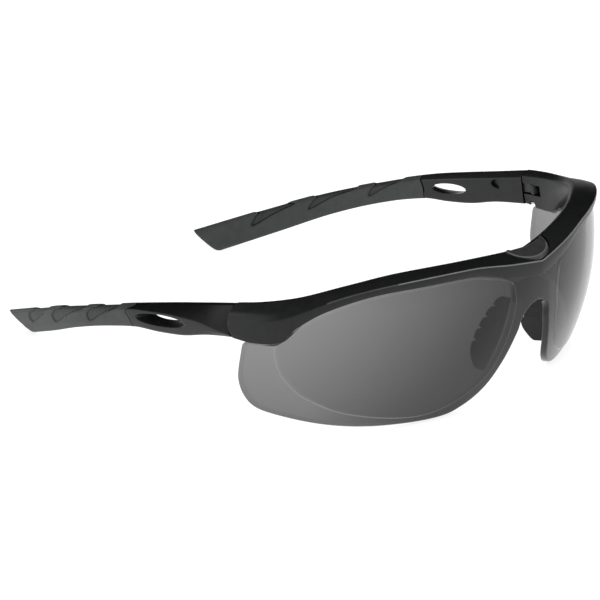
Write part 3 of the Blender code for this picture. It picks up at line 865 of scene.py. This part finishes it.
def temple_ring(s, inner=None, bow=0.0, reach=0.0, segments=4, fill=3):
    """The temple's section at distance s. bow moves it along by the grip seam's curve."""
    outer_x = along(TEMPLE_OUTER_X, s)
    inner_x = inner if inner is not None else outer_x - along(TEMPLE_WIDTH, s)
    top, bottom = along(TEMPLE_TOP_Z, s), along(TEMPLE_BOTTOM_Z, s)
    highest, height = top, top - bottom
    from_end = TEMPLE_END - s
    if from_end < TIP_ROUND[0]:
        top -= TIP_ROUND[0] * (1 - math.sqrt(max(1 - (1 - from_end / TIP_ROUND[0]) ** 2, 0.0)))
    if from_end < TIP_ROUND[1]:
        bottom += TIP_ROUND[1] * (1 - math.sqrt(max(1 - (1 - from_end / TIP_ROUND[1]) ** 2, 0.0)))
    pinch = TIP_PINCH * (1 - step(0, TIP_PINCH_LONG, from_end))
    outer_x, inner_x = outer_x - pinch, inner_x + pinch
    crease = bottom + along(CREASE_SHARE, s) * (top - bottom)
    width = outer_x - inner_x
    lean = along(LEAN_SHARE, s) * width
    under = min(UNDER_SHARE * width, UNDER_MOST)
    tail = TEMPLE_END + SLANT_TAIL
    slant = TIP_SLANT * step(GRIP_START, tail, s) / step(GRIP_START, tail, TEMPLE_END)
    corners = [
        Vector((inner_x, s, top - INNER_TOP_DROP * width)),
        Vector((outer_x - lean, s, top)),
        Vector((outer_x, s, crease)),
        Vector((outer_x - under, s, bottom)),
        Vector((inner_x, s, bottom)),
    ]
    before, after = CREASE_SOFT_REACH
    soft = CREASE_SOFT[0] + CREASE_SOFT[1] * step(GRIP_START - before, GRIP_START + after, s)
    ring = rounded(corners, [0.9, 1.0, soft, 0.9, 0.8], segments, TEMPLE_CROWNS, fill)
    for point in ring:
        down = (highest - point.z) / height
        outside = step(inner_x + 0.3 * width, outer_x - 0.2 * width, point.x)
        point.y -= slant * down
        outer, inside = along(GRIP_BOW_OUTER, down), along(GRIP_BOW_INNER, down)
        point.y += bow * (outside * outer + (1 - outside) * inside)
        point.y += seam_bow(point, reach)
    return ring


def vent_rings():
    """The vent's cutter, wide on the outer face and narrower on the inner one."""
    rings = []
    for x, share in VENT_DEPTHS:
        ends = [Vector(VENT_OUTER[k]).lerp(Vector(VENT_INNER[k]), share) for k in (0, 1)]
        half = VENT_OUTER[2] + (VENT_INNER[2] - VENT_OUTER[2]) * share
        ring = []
        for sign in (1, -1):
            for i in range(VENT_STATIONS):
                turn = math.pi * i / VENT_STATIONS
                centre = ends[0].lerp(ends[1], (1 - sign * math.cos(turn)) / 2)
                ring.append(Vector((x, centre.x, centre.y + sign * half * math.sin(turn))))
        rings.append(ring)
    return rings


def temple_arm(side):
    tag = "left" if side > 0 else "right"
    rings = []
    for i in range(ARM_STATIONS + 1):
        s = ARM_START + (GRIP_START - GAP - ARM_START) * i / ARM_STATIONS
        bow = step(GRIP_START - GRIP_BOW_REACH, GRIP_START, s)
        reach = 1 - step(ARM_START, SEAM_REACH, s)
        rings.append(temple_ring(s, ARM_INNER_X, bow, reach))
    # The upper facet gets painted shade: a darker, less glossy paint.
    slots = [2 if i in ARM_SHADED_FACES else 0 for i in range(len(rings[0]))] * ARM_STATIONS
    paints = (arm_nylon, seam_shadow, arm_upper_painted_shade)
    obj = loft(f"temple_arm_shell_{tag}", mirrored(rings, side), paints, slots, 1)
    low = (TONGUE_X[0] - GAP, -2, TONGUE_Z[0] - GAP)
    high = (TONGUE_X[1] + GAP, TONGUE_REAR_Y + GAP, TONGUE_Z[1] + GAP)
    pocket = box_rings(low, high, side)
    moon = []
    for x in (ARM_INNER_X - MOON_DEEP, ARM_INNER_X + MOON_DEEP):
        ring = [Vector((side * x, MOON_Y, MOON_Z + rise)) for rise in (MOON_RADIUS, -MOON_RADIUS)]
        for i in range(1, 12):
            turn = math.pi * i / 12
            y = MOON_Y + MOON_LONG * math.sin(turn)
            ring.append(Vector((side * x, y, MOON_Z - MOON_RADIUS * math.cos(turn))))
        moon.append(ring)
    cut(
        obj,
        [
            loft(f"cut_vent_{tag}", mirrored(vent_rings(), side)),
            loft(f"cut_pocket_{tag}", pocket),
            loft(f"cut_moon_{tag}", moon),
        ],
    )
    soften(obj, width=0.18, angle=45)
    return obj


def teardrop_distance(places):
    """Signed distance in millimetres from each flattened grip point to the nearest teardrop's outline."""
    nearest = np.full(len(places), 1e3)
    for drop in TEARDROPS:
        loop = []
        for s, share in [drop[-1], *drop, drop[0], drop[1]]:
            height = along(TEMPLE_TOP_Z, s) - along(TEMPLE_BOTTOM_Z, s)
            loop.append((s, share * height + math.copysign(HALF_TOP, share)))
        outline = np.array(curve(loop, DROP_STEPS)[DROP_STEPS:-DROP_STEPS])
        a, b = outline[:-1], outline[1:]
        run = b - a
        rel = places[:, None] - a[None]
        u = np.clip((rel * run).sum(2) / np.maximum((run**2).sum(1), 1e-12), 0, 1)
        away = np.linalg.norm(rel - u[..., None] * run, axis=2).min(1)
        crosses = (a[None, :, 1] > places[:, None, 1]) != (b[None, :, 1] > places[:, None, 1])
        with np.errstate(divide="ignore", invalid="ignore"):
            at = a[:, 0] + (places[:, None, 1] - a[:, 1]) * run[:, 0] / run[:, 1]
        inside = (crosses & (places[:, :1] < at)).sum(1) % 2 == 1
        signed = np.where(inside, -away, away)
        nearest = np.where(np.abs(signed) < np.abs(nearest), signed, nearest)
    return nearest


def grip_places(rings, stations):
    """Each ring point as (distance along, signed millimetres round the section from the top's middle)."""
    places = []
    for ring, s in zip(rings, stations):
        flat = np.array([(p.x, p.z) for p in ring])
        middle = (flat[:, 0].max() + flat[:, 0].min()) / 2
        top = flat[:, 1].max()
        side = np.sign(flat[:, 0] - middle)
        half = (flat[:, 0].max() - flat[:, 0].min()) / 2
        down = top - flat[:, 1]
        over = np.clip(np.abs(flat[:, 0] - middle) / half, 0, 1)
        for i in range(len(ring)):
            places.append((ring[i].y, side[i] * (down[i] + HALF_TOP * over[i])))
    return np.array(places)


def temple_grip(side):
    tag = "left" if side > 0 else "right"
    length = TEMPLE_END - GRIP_START - GRIP_SEAM
    stations = [GRIP_START + GRIP_SEAM + length * i / GRIP_STATIONS for i in range(GRIP_STATIONS + 1)]
    rings = []
    for s in stations:
        bow = 1 - step(GRIP_START, GRIP_START + GRIP_BOW_REACH, s)
        rings.append(temple_ring(s, bow=bow, segments=GRIP_SEGMENTS, fill=GRIP_FILL))
    places = grip_places(rings, stations)
    distance = teardrop_distance(places)
    groove = np.exp(-((distance / DROP_LINE_WIDE) ** 2))
    line = DROP_LINE * groove
    floor = DROP_DEEP * np.clip(0.5 - distance / DROP_EDGE, 0, 1)
    sink = np.maximum(line, floor)
    count = len(rings[0])
    for r, ring in enumerate(rings):
        middle = sum(ring, Vector()) / count
        normals = []
        for i in range(count):
            run = ring[(i + 1) % count] - ring[i - 1]
            normal = Vector((run.z, 0, -run.x)).normalized()
            if normal.dot(ring[i] - middle) < 0:
                normal = -normal
            normals.append(normal)
        for i in range(count):
            ring[i] -= normals[i] * float(sink[r * count + i])
    obj = loft(f"temple_grip_sleeve_{tag}", mirrored(rings, side), recess=distance)
    smooth(obj, angle=75)
    return obj


# ---------------------------------------------------------------- hinges


def hinge_tongue(side):
    tag = "left" if side > 0 else "right"
    outline = []
    for i in range(25):
        turn = -math.pi * i / 24
        x = HINGE_X + TONGUE_EYE_RADIUS * math.cos(turn)
        outline.append(Vector((x, HINGE_Y + TONGUE_EYE_RADIUS * math.sin(turn), 0)))
    outline.append(Vector((TONGUE_X[0], HINGE_Y + 1.2, 0)))
    outline.append(Vector((TONGUE_X[0], TONGUE_REAR_Y, 0)))
    outline.append(Vector((TONGUE_X[1], TONGUE_REAR_Y, 0)))
    outline.append(Vector((TONGUE_X[1], HINGE_Y + 1.2, 0)))
    rings = [[Vector((side * p.x, p.y, z)) for p in outline] for z in TONGUE_Z]
    obj = loft(f"hinge_tongue_block_{tag}", rings)
    hole = PIN_RADIUS + PIN_CLEARANCE
    profile = [(hole, TONGUE_Z[0] - 1), (hole, TONGUE_Z[1] + 1)]
    cut(obj, [loft(f"cut_eye_{tag}", round_rings((side * HINGE_X, HINGE_Y), profile))])
    soften(obj, width=0.25, angle=40, segments=3)
    return obj


def hinge_pin(side):
    tag = "left" if side > 0 else "right"
    rim, foot = PIN_HEAD_RADIUS, PIN_HEAD_Z[0]
    profile = [
        (0.45, foot + 0.35), (0.5, foot + 0.05), (0.6, foot),
        (rim - 0.3, foot), (rim - 0.08, foot + 0.08), (rim, foot + 0.3),
        (rim, PIN_HEAD_Z[1] - 0.1), (rim - 0.1, PIN_HEAD_Z[1]), (PIN_RADIUS, PIN_HEAD_Z[1]),
        (PIN_RADIUS, PIN_Z[1] - 0.3), (PIN_RADIUS * 0.7, PIN_Z[1]),
    ]
    obj = loft(f"hinge_pin_shaft_{tag}", round_rings((side * HINGE_X, HINGE_Y), profile, 36))
    smooth(obj)
    return obj


# ---------------------------------------------------------------- materials


def noise(tree, scale, detail=3.0):
    place = tree.nodes.new("ShaderNodeTexCoord")
    made = tree.nodes.new("ShaderNodeTexNoise")
    made.inputs["Scale"].default_value = scale
    made.inputs["Detail"].default_value = detail
    tree.links.new(place.outputs["Object"], made.inputs["Vector"])
    return made.outputs["Fac"]


def spread_to(tree, value, low, high):
    made = tree.nodes.new("ShaderNodeMapRange")
    made.inputs["From Min"].default_value = 0.3
    made.inputs["From Max"].default_value = 0.7
    made.inputs["To Min"].default_value = low
    made.inputs["To Max"].default_value = high
    tree.links.new(value, made.inputs["Value"])
    return made.outputs["Result"]


def moulded(name, dark, light, rough, grain, bump, specular=0.5, metallic=0.0):
    """A moulded surface: clouded colour, uneven roughness and a fine grain in relief."""
    made = bpy.data.materials.new(name)
    made.use_nodes = True
    tree = made.node_tree
    shader = tree.nodes["Principled BSDF"]
    shader.inputs["Metallic"].default_value = metallic
    shader.inputs["Specular IOR Level"].default_value = specular
    ramp = tree.nodes.new("ShaderNodeValToRGB")
    ramp.color_ramp.elements[0].position = 0.35
    ramp.color_ramp.elements[1].position = 0.65
    ramp.color_ramp.elements[0].color = (*dark, 1)
    ramp.color_ramp.elements[1].color = (*light, 1)
    tree.links.new(noise(tree, grain * CLOUD_SCALE, 5.0), ramp.inputs["Fac"])
    tree.links.new(ramp.outputs["Color"], shader.inputs["Base Color"])
    tree.links.new(spread_to(tree, noise(tree, grain * PATCH_SCALE, 4.0), *rough), shader.inputs["Roughness"])
    relief = tree.nodes.new("ShaderNodeBump")
    relief.inputs["Strength"].default_value = bump
    relief.inputs["Distance"].default_value = GRAIN_DEPTH
    tree.links.new(noise(tree, grain, 2.0), relief.inputs["Height"])
    tree.links.new(relief.outputs["Normal"], shader.inputs["Normal"])
    return made


def scored(material):
    """Paints shade on moulded rubber: darker inside its recesses, and black along the lines round them."""
    tree = material.node_tree
    base = tree.nodes["Principled BSDF"].inputs["Base Color"]
    colour = base.links[0].from_socket
    place = tree.nodes.new("ShaderNodeAttribute")
    place.attribute_name = RECESS
    away = tree.nodes.new("ShaderNodeMath")
    away.operation = "ABSOLUTE"
    tree.links.new(place.outputs["Fac"], away.inputs[0])
    for value, ends in ((away.outputs["Value"], GROOVE_LINE_SHADE), (place.outputs["Fac"], RECESS_INSIDE_SHADE)):
        share = tree.nodes.new("ShaderNodeMapRange")
        for socket, end in zip(("From Min", "From Max", "To Min", "To Max"), ends):
            share.inputs[socket].default_value = end
        tree.links.new(value, share.inputs["Value"])
        toned = tree.nodes.new("ShaderNodeVectorMath")
        toned.operation = "SCALE"
        tree.links.new(colour, toned.inputs[0])
        tree.links.new(share.outputs["Result"], toned.inputs["Scale"])
        colour = toned.outputs["Vector"]
    tree.links.new(colour, base)


def smoke(name, shade_ends, tones=SMOKE_TONE):
    """Tinted polycarbonate, whose alpha falls away from the middle and changes a little with height, as a
    painted gradient that stands in for reflections.
    """
    made = bpy.data.materials.new(name)
    made.use_nodes = True
    tree = made.node_tree
    shader = tree.nodes["Principled BSDF"]
    shader.inputs["IOR"].default_value = 1.45
    shader.inputs["Specular IOR Level"].default_value = 0.38
    ramp = tree.nodes.new("ShaderNodeValToRGB")
    ramp.color_ramp.elements[0].position = 0.3
    ramp.color_ramp.elements[1].position = 0.7
    for element, tone in zip(ramp.color_ramp.elements, tones):
        element.color = (tone, tone, tone, 1)
    tree.links.new(noise(tree, 30.0), ramp.inputs["Fac"])
    tree.links.new(ramp.outputs["Color"], shader.inputs["Base Color"])
    tree.links.new(spread_to(tree, noise(tree, 60.0), 0.05, 0.075), shader.inputs["Roughness"])
    place = tree.nodes.new("ShaderNodeTexCoord")
    parts = tree.nodes.new("ShaderNodeSeparateXYZ")
    tree.links.new(place.outputs["Object"], parts.inputs["Vector"])
    across = tree.nodes.new("ShaderNodeMath")
    across.operation = "ABSOLUTE"
    tree.links.new(parts.outputs["X"], across.inputs[0])
    shade = tree.nodes.new("ShaderNodeMapRange")
    rise = tree.nodes.new("ShaderNodeMapRange")
    for node, ends in ((shade, shade_ends), (rise, SMOKE_RISE)):
        for socket, value in zip(("From Min", "From Max", "To Min", "To Max"), ends):
            node.inputs[socket].default_value = value
    tree.links.new(across.outputs["Value"], shade.inputs["Value"])
    tree.links.new(parts.outputs["Z"], rise.inputs["Value"])
    total = tree.nodes.new("ShaderNodeMath")
    tree.links.new(shade.outputs["Result"], total.inputs[0])
    tree.links.new(rise.outputs["Result"], total.inputs[1])
    tree.links.new(total.outputs["Value"], shader.inputs["Alpha"])
    return made


def paint(obj, material):
    obj.data.materials.clear()
    obj.data.materials.append(material)


# ---------------------------------------------------------------- stage


def floor():
    """A wide flat pale floor."""
    mesh = bpy.data.meshes.new("floor")
    corners = [(FLOOR_HALF * x, FLOOR_HALF * y, 0) for x, y in ((-1, -1), (1, -1), (1, 1), (-1, 1))]
    mesh.from_pydata(corners, [], [(0, 1, 2, 3)])
    obj = bpy.data.objects.new("floor", mesh)
    bpy.context.scene.collection.objects.link(obj)
    made = bpy.data.materials.new("pale_floor")
    made.use_nodes = True
    tree = made.node_tree
    shader = tree.nodes["Principled BSDF"]
    shader.inputs["Roughness"].default_value = 0.9
    shader.inputs["Specular IOR Level"].default_value = 0.0
    tone = tree.nodes.new("ShaderNodeValToRGB")
    tone.color_ramp.elements[0].color = (0.30, 0.30, 0.30, 1)
    tone.color_ramp.elements[1].color = (0.32, 0.32, 0.32, 1)
    tree.links.new(noise(tree, 4.0), tone.inputs["Fac"])
    tree.links.new(tone.outputs["Color"], shader.inputs["Base Color"])
    shader.inputs["Emission Color"].default_value = (1, 1, 1, 1)
    shader.inputs["Emission Strength"].default_value = FLOOR_GLOW
    paint(obj, made)


def lamp(name, place, size, power):
    """A soft box that faces the object."""
    data = bpy.data.lights.new(name, "AREA")
    data.shape = "RECTANGLE"
    data.size, data.size_y = size
    data.energy = power
    obj = bpy.data.objects.new(name, data)
    bpy.context.scene.collection.objects.link(obj)
    obj.location = place
    obj.rotation_euler = (-Vector(place)).to_track_quat("-Z", "Y").to_euler()


def lights():
    """A bright even room for matt surfaces. Glossy ones see only the floor and the soft boxes."""
    lamp("soft_overhead", place=(-0.3, -0.9, 2.3), size=(1.3, 0.8), power=14)
    lamp("soft_low_side", place=(-2.2, 1.9, 0.42), size=(2.6, 0.6), power=16)
    world = bpy.data.worlds.new("studio")
    bpy.context.scene.world = world
    world.use_nodes = True
    world.node_tree.nodes["Background"].inputs["Color"].default_value = (1.0, 1.0, 1.0, 1)
    world.node_tree.nodes["Background"].inputs["Strength"].default_value = WORLD_LIGHT
    world.cycles_visibility.glossy = False


def camera():
    data = bpy.data.cameras.new("camera")
    data.lens = CAMERA_LENS
    data.sensor_width = SENSOR
    data.clip_end = 50
    obj = bpy.data.objects.new("camera", data)
    bpy.context.scene.collection.objects.link(obj)
    turn, tip, roll = (math.radians(value) for value in CAMERA_TURNS)
    stand = Matrix.Rotation(turn, 4, "Z") @ Matrix.Rotation(tip, 4, "X") @ Matrix.Rotation(roll, 4, "Z")
    facing = PLACE.to_3x3().normalized().to_4x4() @ stand
    aim = PLACE @ Vector(CAMERA_AIM)
    obj.matrix_world = Matrix.Translation(aim + facing.to_3x3() @ Vector((0, 0, CAMERA_FAR))) @ facing
    bpy.context.scene.camera = obj


# ---------------------------------------------------------------- all of it


PLACE = place_from(frame)

# Each has its darkest and lightest colour, its range of roughness, the scale and strength of its grain,
# and then its reflection and its metal share where they aren't the usual ones.
nylon = moulded(
    "frame_nylon", (0.0075, 0.0080, 0.0080), (0.0095, 0.0100, 0.0100), (0.34, 0.44), 9000, 0.25, 0.25
)
# Painted highlights along the frame's crease, bright and dim.
crest_painted_highlight = moulded("crest_painted_highlight", (0.11, 0.11, 0.11), (0.14, 0.14, 0.14), (0.36, 0.46), 9000, 0.2)
crest_painted_dim_highlight = moulded("crest_painted_dim_highlight", (0.030, 0.030, 0.030), (0.038, 0.038, 0.038), (0.36, 0.46), 9000, 0.2)
arm_nylon = moulded(
    "arm_nylon", (0.0085, 0.0090, 0.0090), (0.0110, 0.0115, 0.0115), (0.27, 0.36), 9000, 0.25, 0.28
)
# Painted shade on the arms' upper facet: darker and less glossy than the rest.
arm_upper_painted_shade = moulded(
    "arm_upper_painted_shade", (0.0035, 0.0035, 0.0035), (0.0050, 0.0050, 0.0050), (0.27, 0.36), 9000, 0.2, 0.12
)
seam_shadow = moulded(
    "seam_shadow", (0.001, 0.001, 0.001), (0.002, 0.002, 0.002), (0.7, 0.8), 7000, 0.2, 0.1
)
cap_nylon = moulded(
    "cap_nylon", (0.022, 0.0225, 0.022), (0.027, 0.0275, 0.027), (0.42, 0.52), 9000, 0.25, 0.4
)
# Painted highlight on the cap's stepped rim.
cap_painted_rim_highlight = moulded("cap_painted_rim_highlight", (0.075, 0.076, 0.075), (0.09, 0.091, 0.09), (0.42, 0.52), 9000, 0.2)
rubber = moulded("grip_rubber", (0.028, 0.030, 0.030), (0.034, 0.036, 0.036), (0.52, 0.66), 7000, 0.35, 0.4)
# Painted shade in the grip's scored lines and the recesses inside them.
scored(rubber)
pad_rubber = moulded(
    "pad_rubber", (0.006, 0.006, 0.006), (0.009, 0.009, 0.009), (0.45, 0.6), 7000, 0.3, 0.25
)
tongue_nylon = moulded("tongue_nylon", (0.020, 0.021, 0.021), (0.026, 0.027, 0.027), (0.4, 0.5), 8000, 0.2)
steel = moulded("pin_steel", (0.50, 0.50, 0.51), (0.58, 0.58, 0.59), (0.25, 0.38), 5000, 0.15, 0.5, 1.0)


def stand_for(obj, material, body, slot, *nodes):
    if material:
        paint(obj, material)
    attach(obj, body)
    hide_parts(*nodes)


stand_for(front_frame(), None, "front", "frame_nylon", "front_frame")
stand_for(shield(), None, "front", "shield", "shield_lens")
stand_for(bridge_cap(), None, "front", "cap_nylon", "bridge_cap")
stand_for(nose_clip(), nylon, "front", "frame_nylon", "nose_clip")
for side, tag in ((-1, "right"), (1, "left")):
    body = f"temple_{tag}"
    stand_for(nose_pad(side), pad_rubber, "front", "pad_rubber", f"nose_pad_{tag}")
    stand_for(hinge_pin(side), steel, "front", "pin_steel", f"hinge_pin_{tag}")
    stand_for(temple_arm(side), None, body, "arm_nylon", f"temple_arm_{tag}")
    stand_for(temple_grip(side), rubber, body, "grip_rubber", f"temple_grip_{tag}")
    stand_for(hinge_tongue(side), tongue_nylon, body, "tongue_nylon", f"hinge_tongue_{tag}")

floor()
lights()
camera()
bpy.context.scene.view_settings.view_transform = "Standard"
